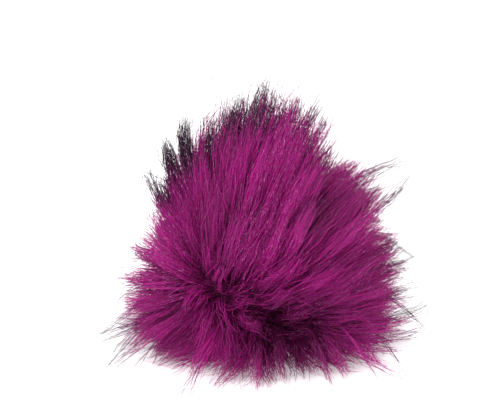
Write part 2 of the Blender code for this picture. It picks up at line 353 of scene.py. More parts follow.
def from_hollow(place, hollow):
    """From the middle of a hollow to a place, as if the hollow were round."""
    away = place - row_place(hollow)
    away.y *= hollow["radius"] / hollow["through"]
    return away


def near_hollow(place, hollow):
    """How near a place is to the middle of a hollow, from 0 at its rim to 1."""
    return max(0.0, 1 - from_hollow(place, hollow).length / hollow["radius"])


def leave_hollows(tip, hollows=HOLLOWS, depth=1.0):
    """Pushes a tip out of the hollows that it lies near, and draws it in a little."""
    shift = Vector()
    length = 1.0
    for hollow in named_rows(HOLLOW_COLUMNS, hollows):
        away = from_hollow(tip, hollow)
        near = near_hollow(tip, hollow)
        shift += away.normalized() * (hollow["push"] * math.sin(math.pi * near))
        length -= hollow["sink"] * depth * near
    return BALL_MIDDLE + (tip + shift - BALL_MIDDLE) * length


def combed_tip(direction, length):
    """Where a lock that grows in a direction ends: on the outline, or a little inside or outside it."""
    swept = sweep_from_parting(direction)
    turn = math.atan2(swept.y, swept.x)
    angle = math.degrees(math.asin(max(-1.0, min(1.0, swept.z))))
    settled = table_value(SETTLE, SETTLE_COLUMNS, "angle", "settled", angle)
    reach = table_value(SETTLE, SETTLE_COLUMNS, "angle", "reach", angle)
    tip = outline_point(turn, settled)
    uneven = length + UNEVEN_REACH * smooth_noise(tip, UNEVEN_SIZE).x
    tip += smooth_noise(tip, GATHER_SIZE) * GATHER
    return leave_hollows(BALL_MIDDLE + (tip - BALL_MIDDLE) * (uneven * reach))


def take_over_nearest(tips, aim, taken):
    """The free lock whose tip is nearest to the tip that a tuft should have."""
    order = sorted(range(len(tips)), key=lambda index: (tips[index] - aim).length)
    return next(index for index in order if index not in taken)


def lock_radius(place, thickness):
    """The radius of a lock: it fills out to its belly and tapers to its tip."""
    belly = max(BELLY_RADIUS * thickness, TIP_RADIUS)
    root = ROOT_RADIUS * math.sqrt(thickness)
    if place < BELLY_PLACE:
        return root + (belly - root) * place / BELLY_PLACE
    share = (place - BELLY_PLACE) / (1 - BELLY_PLACE)
    return belly + (TIP_RADIUS - belly) * share**TAPER


def lock_path(direction, tip, thickness, count, rng):
    """Points and radii of one lock: it leaves the backing straight, rises a little and bends to its tip."""
    root = BALL_MIDDLE + direction * BALL_RADIUS
    along = tip - root
    level = math.hypot(along.x, along.y)
    knee = root + direction * (along.length * KNEE_SHARE)
    knee.z += level * KNEE_RISE
    knee += direction.cross(along).normalized() * rng.uniform(-SIDE_BEND, SIDE_BEND)
    start = root - direction * ROOT_DEPTH
    points = []
    for step in range(count):
        place = step / (count - 1)
        point = start * (1 - place) ** 2 + knee * (2 * place * (1 - place)) + tip * place**2
        radius = lock_radius(place, thickness)
        point.z = max(point.z, radius + FLOOR_GAP)
        points.append((point, radius))
    return points


# Guides: a mesh of open lines with named attributes, one line for each lock.


class Guides:
    """The lines that the hairs follow, with the values that each line carries."""

    def __init__(self):
        self.points = []
        self.edges = []
        self.values = {"girth": [], "hairs": [], "tone": [], "dark": [], "deep": []}

    def add(self, direction, path, hairs, tone, dark, spread):
        """Adds one line. Its hairs fill the lock's radius, and spread further apart towards the tip."""
        first = len(self.points)
        deep = crease_shade_share(direction)
        for step, (point, radius) in enumerate(path):
            self.points.append(point)
            self.values["girth"].append(radius + spread * step / (len(path) - 1))
            self.values["hairs"].append(hairs)
            self.values["tone"].append(tone)
            self.values["dark"].append(dark)
            self.values["deep"].append(deep)
        self.edges += [(first + step, first + step + 1) for step in range(len(path) - 1)]

    def to_object(self, name):
        """Makes an object of the lines, with their values as attributes."""
        mesh = bpy.data.meshes.new(name)
        mesh.from_pydata(self.points, self.edges, [])
        for key, values in self.values.items():
            attribute = mesh.attributes.new(key, "FLOAT", "POINT")
            attribute.data.foreach_set("value", values)
        guide = bpy.data.objects.new(name, mesh)
        bpy.context.scene.collection.objects.link(guide)
        return guide


GUIDE_POINTS = 8
# Within this angle of the parting, hairs are painted with shade, less towards its left end.
CREASE_SHADE_WIDTH = 26.0
CREASE_SHADE_LEFT_END = 0.15

# The locks between the main ones are uneven in patches, and longer round the foot, where they splay out.
PATCH_SIZE = 0.016
PATCH_LEAN = 0.0060
PATCH_LENGTH = 0.10
PATCH_SHIFT = Vector((0.5, 0.2, 0.9))
GATHER_LIMIT = 0.016
SKIRT_LENGTH = 1.08
SKIRT_TOP = -0.30
SKIRT_GATHER = 0.35
SKIRT_REACH = 0.0625
SKIRT_LEAN = 0.003
SKIRT_TURN = 0.12
SKIRT_HEIGHTS = (0.0006, 0.0070)
SKIRT_LENGTHS = (0.84, 1.04)
NOTCH_DEPTH = 1.6
CROWN_HEIGHT = 0.095
CROWN_LENGTH = 1.06

# Hair beside a dark tuft is dark too, within this distance of its tip, or half of it low down. Tips near the
# rim are a little dark, and so are a few others.
DARK_REACH = 0.010
DARK_ABOVE = 0.070
DARK_GAIN = 1.3
RIM_START = 0.060
RIM_WIDTH = 0.012
RIM_DARK = 0.35
STRAY_DARK = 0.18

# How much brighter or darker patches of the pile are, and how large they are.
TONE_SHIFT = Vector((0.3, 0.1, 0.7))
LARGE_TONE = 0.20
LARGE_TONE_SIZE = 0.030
SMALL_TONE = 0.16
SMALL_TONE_SIZE = 0.012
MIDDLE_TONE = 0.5


def crease_shade_share(direction):
    """How deep in the parting a lock grows, for the shade painted there: 1 in its middle, 0 beside it, less
    towards its left end.
    """
    share, away = nearest_parting(direction)
    return max(0.0, 1 - away / CREASE_SHADE_WIDTH) * (CREASE_SHADE_LEFT_END + (1 - CREASE_SHADE_LEFT_END) * share)


def tone_at(tip, rng, spread):
    """How bright a lock is: larger and smaller patches of the pile differ, and so do neighbouring locks."""
    large = LARGE_TONE * smooth_noise(tip + TONE_SHIFT, LARGE_TONE_SIZE).y
    small = SMALL_TONE * smooth_noise(tip + TONE_SHIFT, SMALL_TONE_SIZE).x
    return MIDDLE_TONE + large + small + rng.uniform(-spread, spread)


def darkness_at(tip, rng):
    """How dark the tips of an ordinary lock are: as dark as a tuft beside it, and a little near the rim."""
    beside = 0.0
    for tuft in named_rows(TUFT_COLUMNS, TUFTS):
        away = (tip - row_place(tuft)).length
        reach = DARK_REACH if tuft["z"] > DARK_ABOVE else DARK_REACH / 2
        beside = max(beside, tuft["dark"] * min(1.0, DARK_GAIN * max(0.0, 1 - away / reach)))
    rim = max(0.0, min(1.0, (math.hypot(tip.x, tip.y) - RIM_START) / RIM_WIDTH))
    return max(beside, RIM_DARK * rim, STRAY_DARK * rng.random())


def loose_tip(direction, shortest, longest, gathered, main_tips, rng):
    """Where a lock between the main ones ends: less evenly, and drawn to the nearest main lock."""
    skirt = direction.z < SKIRT_TOP
    tip = combed_tip(direction, rng.uniform(shortest, longest) * (SKIRT_LENGTH if skirt else 1.0))
    patch = smooth_noise(tip + PATCH_SHIFT, PATCH_SIZE)
    tip += patch * PATCH_LEAN
    crown = CROWN_LENGTH if tip.z > CROWN_HEIGHT else 1.0
    tip = BALL_MIDDLE + (tip - BALL_MIDDLE) * (crown + PATCH_LENGTH * patch.z)
    tip = leave_hollows(tip, NOTCHES, NOTCH_DEPTH)
    if gathered:
        lock, _, distance = main_tips.find(tip)
        pull = gathered * (SKIRT_GATHER if skirt else 1.0)
        tip = tip.lerp(lock, pull * max(0.0, 1 - distance / GATHER_LIMIT))
        tip = leave_hollows(tip, NOTCHES, NOTCH_DEPTH)
    tip.z = max(tip.z, FLOOR_GAP)
    return tip


def skirt_tip(direction, rng):
    """Where a lock that lies on the surface ends: straight out from its root, a little further towards +X."""
    turn = math.atan2(direction.y, direction.x) + rng.uniform(-SKIRT_TURN, SKIRT_TURN)
    reach = (SKIRT_REACH + SKIRT_LEAN * math.cos(turn)) * rng.uniform(*SKIRT_LENGTHS)
    return Vector((reach * math.cos(turn), reach * math.sin(turn), rng.uniform(*SKIRT_HEIGHTS)))


def main_locks():
    """The locks of the solid model, and the tufts that take over some of them."""
    rng = random.Random(LOCK_SEED)
    directions = root_directions(LOCK_COUNT, LOWEST_ROOT, ROOT_JITTER, rng)
    tips = [combed_tip(direction, rng.uniform(SHORTEST_LOCK, LONGEST_LOCK)) for direction in directions]
    tufts = {}
    for tuft in named_rows(TUFT_COLUMNS, TUFTS):
        aim = row_place(tuft)
        index = take_over_nearest(tips, aim, tufts)
        tips[index] = aim
        tufts[index] = tuft
    locks = []
    for index, (direction, tip) in enumerate(zip(directions, tips)):
        tuft = tufts.get(index)
        path = lock_path(direction, tip, tuft["thickness"] if tuft else 1.0, GUIDE_POINTS, rng)
        locks.append((direction, path, tuft))
    return locks


def main_tip_finder():
    """Finds the nearest tip of the main locks and tufts."""
    tips = [path[-1][0] for _, path, _ in main_locks()]
    finder = KDTree(len(tips))
    for index, tip in enumerate(tips):
        finder.insert(tip, index)
    finder.balance()
    return finder


# Small helpers for node trees.


def find_socket(sockets, name):
    """The shown socket of that name."""
    return next(socket for socket in sockets if socket.enabled and socket.name == name)


def add_node(tree, kind, inputs=None, **settings):
    """Adds a node with its settings, and fills its inputs by name or number with values or links."""
    node = tree.nodes.new(kind)
    for name, value in settings.items():
        setattr(node, name, value)
    for key, value in (inputs or {}).items():
        socket = node.inputs[key] if isinstance(key, int) else find_socket(node.inputs, key)
        if isinstance(value, bpy.types.NodeSocket):
            tree.links.new(value, socket)
        else:
            socket.default_value = value
    return node


def calc(tree, operation, *values):
    """One step of arithmetic."""
    return add_node(tree, "ShaderNodeMath", dict(enumerate(values)), operation=operation).outputs[0]


def vector_calc(tree, operation, *values):
    """One step of vector arithmetic."""
    inputs = dict(enumerate(values))
    if operation == "SCALE":
        inputs = {"Vector": values[0], "Scale": values[1]}
    return add_node(tree, "ShaderNodeVectorMath", inputs, operation=operation).outputs["Vector"]


def named_value(tree, name, kind="FLOAT"):
    """Reads a value that the lines carry."""
    node = add_node(tree, "GeometryNodeInputNamedAttribute", {"Name": name}, data_type=kind)
    return find_socket(node.outputs, "Attribute")


def keep_value(tree, geometry, name, value, domain, kind="FLOAT"):
    """Stores a value on the geometry under a name."""
    inputs = {"Geometry": geometry, "Name": name, "Value": value}
    node = add_node(tree, "GeometryNodeStoreNamedAttribute", inputs, domain=domain, data_type=kind)
    return node.outputs["Geometry"]


def random_vector(tree, seed):
    """Three random numbers from 0 to 1 for each element."""
    inputs = {"Min": (0, 0, 0), "Max": (1, 1, 1), "Seed": seed}
    node = add_node(tree, "FunctionNodeRandomValue", inputs, data_type="FLOAT_VECTOR")
    return find_socket(node.outputs, "Value")


# The hair tree: it grows hairs around each guide line.

HAIR_INPUTS = (
    ("Hair Points", "NodeSocketInt", 6),
    ("Thickness", "NodeSocketFloat", 0.00034),
    ("Thinnest Share", "NodeSocketFloat", 0.35),
    ("Fullness", "NodeSocketFloat", 1.0),
    ("Shortest Hair", "NodeSocketFloat", 0.55),
    ("Longest Hair", "NodeSocketFloat", 1.0),
    ("Stray", "NodeSocketFloat", 0.003),
    ("Stray Size", "NodeSocketFloat", 0.025),
    ("Tone Spread", "NodeSocketFloat", 0.35),
    ("Seed", "NodeSocketInt", 1),
    ("Material", "NodeSocketMaterial", None),
)
HAIR_SIDES = 3
LOWEST_HAIR = 0.0002

# How the chances of a hair shape it: most hairs are long, a few stray much further than the others, and their
# widths differ. Each tapers late.
LENGTH_POWER = 0.6
STRAY_POWER = 1.3
STRAY_GAIN = 2.0
WILD_POWER = 8.0
WILD_GAIN = 2.5
TAME_STRAY = 0.6
NOISE_SPAN = 40.0
TAPER_POWER = 2.2
LEAST_WIDTH = 0.7
WIDTH_SPAN = 0.6

# How far along the hair map a tip lies, which is where it turns dark, and how much less far a hair reaches
# deep in the parting, which paints shade there.
TIP_PLACE = 0.46
DARK_TIP_GAIN = 0.42
CHANCE_TIP_GAIN = 0.16
CREASE_SHADE_LOSS = 0.6
MAP_BULGE = 0.016
MAP_WIDTH = 0.004
MAP_SHRINK = 0.99
LEAST_TONE = 0.01
MOST_TONE = 0.98
UV_NAMES = ("HairMap", "OFBake")
SCRATCH_VALUES = (
    "map_u", "map_v", "side", "width", "girth", "hairs", "tone", "dark", "deep", "chance", "whim",
)


def shade_of_patch(tree, place, patch):
    """How much darker a hair is at a place because of one patch: all of it in the middle, none at the rim."""
    inputs = {0: place, 1: row_place(patch)}
    away = add_node(tree, "ShaderNodeVectorMath", inputs, operation="DISTANCE").outputs["Value"]
    inputs = {"Value": away, "From Max": patch["radius"], "To Min": patch["shade"], "To Max": 0.0}
    return add_node(tree, "ShaderNodeMapRange", inputs, interpolation_type="SMOOTHSTEP").outputs[0]


def hair_tree():
    """Builds the tree that turns guide lines into hairs: closed, tapered, three-sided tubes."""
    tree = bpy.data.node_groups.new("hair_on_locks", "GeometryNodeTree")
    tree.is_modifier = True
    tree.interface.new_socket("Geometry", in_out="INPUT", socket_type="NodeSocketGeometry")
    for name, kind, default in HAIR_INPUTS:
        socket = tree.interface.new_socket(name, in_out="INPUT", socket_type=kind)
        if default is not None:
            socket.default_value = default
    tree.interface.new_socket("Geometry", in_out="OUTPUT", socket_type="NodeSocketGeometry")
    given = add_node(tree, "NodeGroupInput").outputs

    curves = add_node(tree, "GeometryNodeMeshToCurve", {"Mesh": given["Geometry"]}).outputs["Curve"]
    inputs = {"Geometry": curves, "Amount": named_value(tree, "hairs")}
    curves = add_node(tree, "GeometryNodeDuplicateElements", inputs, domain="SPLINE").outputs["Geometry"]
    seed = given["Seed"]
    next_seed = calc(tree, "ADD", seed, 1)
    curves = keep_value(tree, curves, "chance", random_vector(tree, seed), "CURVE", "FLOAT_VECTOR")
    curves = keep_value(tree, curves, "whim", random_vector(tree, next_seed), "CURVE", "FLOAT_VECTOR")
    chance = add_node(tree, "ShaderNodeSeparateXYZ", {0: named_value(tree, "chance", "FLOAT_VECTOR")}).outputs
    whim = add_node(tree, "ShaderNodeSeparateXYZ", {0: named_value(tree, "whim", "FLOAT_VECTOR")}).outputs

    longer = calc(tree, "SUBTRACT", given["Longest Hair"], given["Shortest Hair"])
    by_chance = calc(tree, "POWER", chance[2], LENGTH_POWER)
    length = calc(tree, "MULTIPLY_ADD", longer, by_chance, given["Shortest Hair"])
    curves = add_node(
        tree, "GeometryNodeTrimCurve", {"Curve": curves, "End": length}, mode="FACTOR"
    ).outputs["Curve"]
    curves = add_node(
        tree, "GeometryNodeResampleCurve", {"Curve": curves, "Count": given["Hair Points"]}, mode="COUNT"
    ).outputs["Curve"]
    along = add_node(tree, "GeometryNodeSplineParameter").outputs["Factor"]

    # Each hair has its own place in the round of the lock.
    radius = calc(tree, "MULTIPLY", calc(tree, "SQRT", chance[0]), named_value(tree, "girth"))
    radius = calc(tree, "MULTIPLY", radius, given["Fullness"])
    turn = calc(tree, "MULTIPLY", chance[1], math.tau)
    normal = add_node(tree, "GeometryNodeInputNormal").outputs["Normal"]
    tangent = add_node(tree, "GeometryNodeInputTangent").outputs["Tangent"]
    across = vector_calc(tree, "CROSS_PRODUCT", normal, tangent)
    aside = vector_calc(
        tree,
        "ADD",
        vector_calc(tree, "SCALE", normal, calc(tree, "MULTIPLY", radius, calc(tree, "COSINE", turn))),
        vector_calc(tree, "SCALE", across, calc(tree, "MULTIPLY", radius, calc(tree, "SINE", turn))),
    )

    # It strays from the lock more and more towards its tip.
    place = add_node(tree, "GeometryNodeInputPosition").outputs["Position"]
    scale = calc(tree, "DIVIDE", 1.0, given["Stray Size"])
    wander = add_node(
        tree,
        "ShaderNodeTexNoise",
        {"Vector": place, "W": calc(tree, "MULTIPLY", whim[0], NOISE_SPAN), "Scale": scale, "Detail": 2.0},
        noise_dimensions="4D",
    ).outputs["Color"]
    wander = vector_calc(tree, "SUBTRACT", wander, (0.5, 0.5, 0.5))
    wild = calc(tree, "MULTIPLY_ADD", calc(tree, "POWER", whim[1], WILD_POWER), WILD_GAIN, TAME_STRAY)
    amount = calc(tree, "MULTIPLY", calc(tree, "POWER", along, STRAY_POWER), given["Stray"])
    amount = calc(tree, "MULTIPLY", calc(tree, "MULTIPLY", amount, wild), STRAY_GAIN)
    offset = vector_calc(tree, "ADD", aside, vector_calc(tree, "SCALE", wander, amount))
    place = vector_calc(tree, "ADD", place, offset)
    place = vector_calc(tree, "MAXIMUM", place, (-1.0, -1.0, LOWEST_HAIR))
    inputs = {"Geometry": curves, "Position": place}
    curves = add_node(tree, "GeometryNodeSetPosition", inputs).outputs["Geometry"]

    # The hair's thickness, and where it lies on the hair map: along the hair, and by its tone.
    taper = calc(tree, "SUBTRACT", 1.0, calc(tree, "POWER", along, TAPER_POWER))
    narrow = calc(tree, "SUBTRACT", 1.0, given["Thinnest Share"])
    taper = calc(tree, "MULTIPLY_ADD", taper, narrow, given["Thinnest Share"])
    width = calc(tree, "MULTIPLY", calc(tree, "MULTIPLY", given["Thickness"], 0.5), taper)
    width = calc(tree, "MULTIPLY", width, calc(tree, "MULTIPLY_ADD", whim[1], WIDTH_SPAN, LEAST_WIDTH))
    dark = named_value(tree, "dark")
    by_chance = calc(tree, "MULTIPLY", whim[2], CHANCE_TIP_GAIN)
    reach = calc(tree, "MULTIPLY_ADD", dark, DARK_TIP_GAIN, by_chance)
    reach = calc(tree, "MINIMUM", calc(tree, "ADD", reach, TIP_PLACE), 1.0)
    # Hairs deep in the parting stay near the dark root end of the map: painted shade in the crease.
    depth = calc(tree, "SUBTRACT", 1.0, calc(tree, "MULTIPLY", named_value(tree, "deep"), CREASE_SHADE_LOSS))
    map_u = calc(tree, "MULTIPLY", calc(tree, "MULTIPLY", along, reach), depth)
    tone = calc(tree, "SUBTRACT", calc(tree, "ADD", whim[0], whim[1]), 1.0)
    tone = calc(tree, "MULTIPLY_ADD", tone, given["Tone Spread"], named_value(tree, "tone"))
    # Painted shade in the crease and hollows, and painted light in a few places, from the patches.
    for patch in named_rows(PATCH_COLUMNS, PATCHES):
        tone = calc(tree, "SUBTRACT", tone, shade_of_patch(tree, place, patch))
    inputs = {"Value": tone, "Min": LEAST_TONE, "Max": MOST_TONE}
    map_v = add_node(tree, "ShaderNodeClamp", inputs).outputs[0]
    curves = keep_value(tree, curves, "map_u", map_u, "POINT")
    curves = keep_value(tree, curves, "map_v", map_v, "POINT")
    curves = keep_value(tree, curves, "width", width, "POINT")

    section = add_node(
        tree, "GeometryNodeCurvePrimitiveCircle", {"Resolution": HAIR_SIDES, "Radius": 1.0}, mode="RADIUS"
    ).outputs["Curve"]
    side = calc(tree, "DIVIDE", add_node(tree, "GeometryNodeInputIndex").outputs[0], HAIR_SIDES - 1.0)
    section = keep_value(tree, section, "side", side, "POINT")
    width = named_value(tree, "width")
    inputs = {"Curve": curves, "Profile Curve": section, "Scale": width, "Fill Caps": True}
    hair = add_node(tree, "GeometryNodeCurveToMesh", inputs).outputs["Mesh"]

    # Every face has some width on the map, the caps too.
    side = named_value(tree, "side")
    bulge = calc(tree, "MULTIPLY", side, calc(tree, "SUBTRACT", 1.0, side))
    bulge = calc(tree, "MULTIPLY", bulge, MAP_BULGE)
    map_u = calc(tree, "ADD", calc(tree, "MULTIPLY", named_value(tree, "map_u"), MAP_SHRINK), bulge)
    map_v = calc(tree, "MULTIPLY_ADD", side, MAP_WIDTH, named_value(tree, "map_v"))
    hair_map = add_node(tree, "ShaderNodeCombineXYZ", {"X": map_u, "Y": map_v}).outputs[0]
    for name in UV_NAMES:
        hair = keep_value(tree, hair, name, hair_map, "CORNER", "FLOAT2")
    hair = add_node(tree, "GeometryNodeSetShadeSmooth", {"Geometry": hair}).outputs["Geometry"]
    hair = add_node(tree, "GeometryNodeRealizeInstances", {"Geometry": hair}).outputs["Geometry"]
    inputs = {"Geometry": hair, "Material": given["Material"]}
    hair = add_node(tree, "GeometryNodeSetMaterial", inputs).outputs["Geometry"]
    add_node(tree, "NodeGroupOutput", {"Geometry": hair})
    return tree


def grow_hair(name, guides, material, **inputs):
    """Grows hair on the guides, and leaves it as a plain mesh."""
    tree = bpy.data.node_groups.get("hair_on_locks") or hair_tree()
    guide = guides.to_object(name + "_guides")
    modifier = guide.modifiers.new("hair", "NODES")
    modifier.node_group = tree
    identifiers = {item.name: item.identifier for item in tree.interface.items_tree if item.in_out == "INPUT"}
    for key, value in inputs.items():
        modifier[identifiers[key.replace("_", " ").title()]] = value
    modifier[identifiers["Material"]] = material
    bpy.context.view_layer.update()
    graph = bpy.context.evaluated_depsgraph_get()
    mesh = bpy.data.meshes.new_from_object(guide.evaluated_get(graph))
    mesh.name = name
    bpy.data.objects.remove(guide)
    for attribute in SCRATCH_VALUES:
        if attribute in mesh.attributes:
            mesh.attributes.remove(mesh.attributes[attribute])
    if not mesh.polygons:
        raise RuntimeError(f"{name} has no hair")
    piece = bpy.data.objects.new(name, mesh)
    bpy.context.scene.collection.objects.link(piece)
    return piece


def finish_piece(piece):
    """Makes a piece part of the pom pom."""
    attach(piece, BODY)
    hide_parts(NODE)


# Materials.


DARKEST_TONE = 0.35
BRIGHTEST_TONE = 1.65
GLINT_GRID = (36.0, 420.0, 1.0)
GLINT_START = 0.70
GLINT_FULL = 0.76
GLINT_STRENGTH = 0.7
HAIR_ROUGHNESS = 0.45
HAIR_SPECULAR = 0.18
UNDERFUR_ROUGHNESS = 0.9
UNDERFUR_GRAIN_SCALE = 900.0


def hair_material(colours):
    """Synthetic fur: dark at the root with painted shade, bright along its length, near black at the tips of
    some hairs, and with painted glints.
    """
    material = bpy.data.materials.get("fur_hair")
    if material:
        return material
    material = bpy.data.materials.new("fur_hair")
    material.use_nodes = True
    tree = material.node_tree
    shader = tree.nodes["Principled BSDF"]
    uv = add_node(tree, "ShaderNodeUVMap", uv_map=UV_NAMES[0]).outputs["UV"]
    parts = add_node(tree, "ShaderNodeSeparateXYZ", {0: uv}).outputs
    # The root and deep colours darken each hair towards the backing: painted shade deep in the pile. The dusk
    # and tip colours are the dark tips of some hairs.
    ramp = add_node(tree, "ShaderNodeValToRGB", {"Fac": parts["X"]})
    stops = (
        (0.0, colours.root),
        (0.16, colours.deep),
        (0.38, colours.bright),
        (0.55, colours.bright),
        (0.65, colours.dusk),
        (0.77, colours.tip),
    )
    elements = ramp.color_ramp.elements
    while len(elements) < len(stops):
        elements.new(1.0)
    for element, (position, colour) in zip(elements, stops):
        element.position = position
        element.color = (*colour, 1)
    # The tone scales the colour: it holds each hair's random tone and the painted shade and light of the
    # patches.
    inputs = {"Value": parts["Y"], "To Min": DARKEST_TONE, "To Max": BRIGHTEST_TONE}
    tone = add_node(tree, "ShaderNodeMapRange", inputs).outputs[0]
    toned = vector_calc(tree, "SCALE", ramp.outputs["Color"], tone)

    # Small pale glints, where single hairs catch the light.
    grid = vector_calc(tree, "MULTIPLY", uv, GLINT_GRID)
    spots = add_node(tree, "ShaderNodeTexNoise", {"Vector": grid, "Scale": 1.0, "Detail": 0.0}).outputs["Fac"]
    inputs = {"Value": spots, "From Min": GLINT_START, "From Max": GLINT_FULL, "To Max": GLINT_STRENGTH}
    glint = add_node(tree, "ShaderNodeMapRange", inputs).outputs[0]
    inputs = {"Factor": glint, "A": toned, "B": (*colours.glint, 1)}
    mixed = add_node(tree, "ShaderNodeMix", inputs, data_type="RGBA")
    tree.links.new(find_socket(mixed.outputs, "Result"), shader.inputs["Base Color"])
    shader.inputs["Roughness"].default_value = HAIR_ROUGHNESS
    shader.inputs["Specular IOR Level"].default_value = HAIR_SPECULAR
    return material


def underfur_material(colours):
    """The dense short fur next to the backing, matt and dark with painted shade deep in the pile."""
    material = bpy.data.materials.new("underfur")
    material.use_nodes = True
    tree = material.node_tree
    shader = tree.nodes["Principled BSDF"]
    place = add_node(tree, "ShaderNodeTexCoord").outputs["Object"]
    inputs = {"Vector": place, "Scale": UNDERFUR_GRAIN_SCALE, "Detail": 4.0}
    grain = add_node(tree, "ShaderNodeTexNoise", inputs).outputs["Fac"]
    inputs = {"Factor": grain, "A": (*colours.root, 1), "B": (*colours.deep, 1)}
    colour = add_node(tree, "ShaderNodeMix", inputs, data_type="RGBA")
    tree.links.new(find_socket(colour.outputs, "Result"), shader.inputs["Base Color"])
    shader.inputs["Roughness"].default_value = UNDERFUR_ROUGHNESS
    return material


# What a user may change.


def colour_property(name, description, default):
    """A colour that a user can change."""
    return FloatVectorProperty(
        name=name, description=description, default=default, subtype="COLOR", min=0, max=1
    )


class PomPomColours(bpy.types.PropertyGroup):
    """The colours of the fur"""

    # The root and deep colours are painted shade deep in the pile, and the glint colour is a painted
    # highlight.
    root: colour_property("Root", "Colour of the hair at its root", (0.06, 0.002, 0.03))
    deep: colour_property("Deep", "Colour deep in the pile", (0.19, 0.006, 0.095))
    bright: colour_property("Bright", "Colour of the outer pile", (0.385, 0.009, 0.205))
    dusk: colour_property("Dusk", "Colour where the tips darken", (0.12, 0.008, 0.075))
    tip: colour_property("Tip", "Colour of the darkest tips", (0.026, 0.006, 0.020))
    glint: colour_property("Glint", "Colour of hairs that catch the light", (0.75, 0.40, 0.65))


class PomPomFur(bpy.types.PropertyGroup):
    """How much hair there is, and how thick it is"""

    hairs: IntProperty(
        name="Hairs per lock", description="Hairs on each main lock", default=30, min=1
    )
    fill_locks: IntProperty(
        name="Fill locks", description="Smaller locks between the main ones", default=880, min=1
    )
    fill_hairs: IntProperty(
        name="Hairs per fill lock", description="Hairs on each small lock", default=12, min=1
    )
    skirt_locks: IntProperty(
        name="Skirt locks", description="Small locks that lie on the surface", default=300, min=1
    )
    guard_hairs: IntProperty(
        name="Guard hairs", description="Places where long single hairs stand out", default=2500, min=1
    )
    flyaways: IntProperty(
        name="Flyaways", description="Thin hairs that fly away from the pile", default=600, min=1
    )
    thickness: FloatProperty(
        name="Hair thickness", description="Width of a hair", default=0.00036, min=0.0001, unit="LENGTH"
    )


# How the hairs of each kind grow: the points along one, its thickness as a share of the one that a user sets,
# how thin its tip is and how short the shortest is beside the others, how far it strays and over what
# distance, how much the tones differ, and the seed.
HAIR_COLUMNS = (
    "hair_points", "thickness", "thinnest_share", "shortest_hair",
    "stray", "stray_size", "tone_spread", "seed",
)
HAIR_KINDS = {
    "main_locks": (6, 0.90, 0.35, 0.60, 0.007, 0.016, 0.22, 21),
    "tufts": (8, 0.80, 0.40, 0.66, 0.007, 0.016, 0.25, 51),
    "fill_locks": (5, 0.90, 0.35, 0.66, 0.009, 0.016, 0.22, 31),
    "skirt": (5, 0.90, 0.35, 0.70, 0.008, 0.018, 0.22, 71),
    "guard_hairs": (6, 0.55, 0.45, 0.80, 0.011, 0.020, 0.40, 41),
    "flyaways": (9, 0.60, 0.50, 0.90, 0.016, 0.030, 0.20, 61),
    "wisps": (8, 0.75, 0.45, 0.76, 0.006, 0.014, 0.20, 81),
}

# How the loose locks lie: how uneven their roots are, their lengths beside the outline, how strongly the
# nearest main lock draws them in, how thick they are beside one, and the seed.
LOOSE_COLUMNS = ("jitter", "shortest", "longest", "gathered", "girth", "seed")
LOOSE_KINDS = {
    "fill_locks": (0.002, 0.80, 1.02, 0.65, 0.75, 12),
    "guard_hairs": (0.004, 0.82, 1.06, 0.35, 0.50, 13),
    "flyaways": (0.006, 1.00, 1.16, 0.00, 0.40, 15),
}

# How far the hairs of a lock spread towards its tip, and how much the tones of neighbouring locks differ.
MAIN_SPREAD = 0.0012
TUFT_SPREAD = 0.0020
FILL_SPREAD = 0.0014
GUARD_SPREAD = 0.0035
FLYAWAY_SPREAD = 0.0040
MAIN_TONES = 0.08
FILL_TONES = 0.12
GUARD_TONES = 0.15
WISP_TONES = 0.10

MAIN_SEED = 11
TUFT_SEED = 14
SKIRT_SEED = 16
WISP_SEED = 17

# The hairs of a tuft as thick as a main lock, low down and higher up. Thinner tufts have fewer.
LOW_TUFT = 0.05
LOW_TUFT_HAIRS = 80
TUFT_HAIRS = 130
TUFT_POWER = 1.6

GUARD_HAIRS = 3
GUARD_DARK = 0.6
FLYAWAY_TONES = (0.1, 0.5)
FLYAWAY_DARKS = (0.6, 1.0)
SKIRT_GIRTH = 0.7
SKIRT_JITTER = 0.003
SKIRT_SHARE = (SKIRT_TOP - math.cos(LOWEST_ROOT)) / (1 - math.cos(LOWEST_ROOT))

# A wisp of this many hairs spreads this far, and a fuller one further.
WISP_HAIRS = 7
WISP_SPREAD = 0.0003
WISP_GIRTH = 0.45

# The larger kinds are two pieces each, one in front and one at the back.
HALVES = 2


def half_of(path):
    """Which half of the pom pom a lock grows on: 0 in front, 1 at the back."""
    return 0 if path[0][0].y < 0 else 1


def loose_locks(kind, count):
    """The locks between the main ones: where each grows, its path, its tip and the source of its chances."""
    lie = dict(zip(LOOSE_COLUMNS, LOOSE_KINDS[kind]))
    rng = random.Random(lie["seed"])
    main_tips = main_tip_finder()
    for direction in root_directions(count, LOWEST_ROOT, lie["jitter"], rng):
        tip = loose_tip(direction, lie["shortest"], lie["longest"], lie["gathered"], main_tips, rng)
        yield direction, lock_path(direction, tip, lie["girth"], GUIDE_POINTS, rng), tip, rng


def grow_kind(context, kind, groups):
    """Grows one kind of hair, a piece for each group of guides."""
    settings = dict(zip(HAIR_COLUMNS, HAIR_KINDS[kind]))
    settings["thickness"] *= context.scene.pompom_fur.thickness
    material = hair_material(context.scene.pompom_colours)
    for index, guides in enumerate(groups):
        name = f"{kind}_{index}" if len(groups) > 1 else kind
        finish_piece(grow_hair(name, guides, material, **settings))
        settings["seed"] += 1


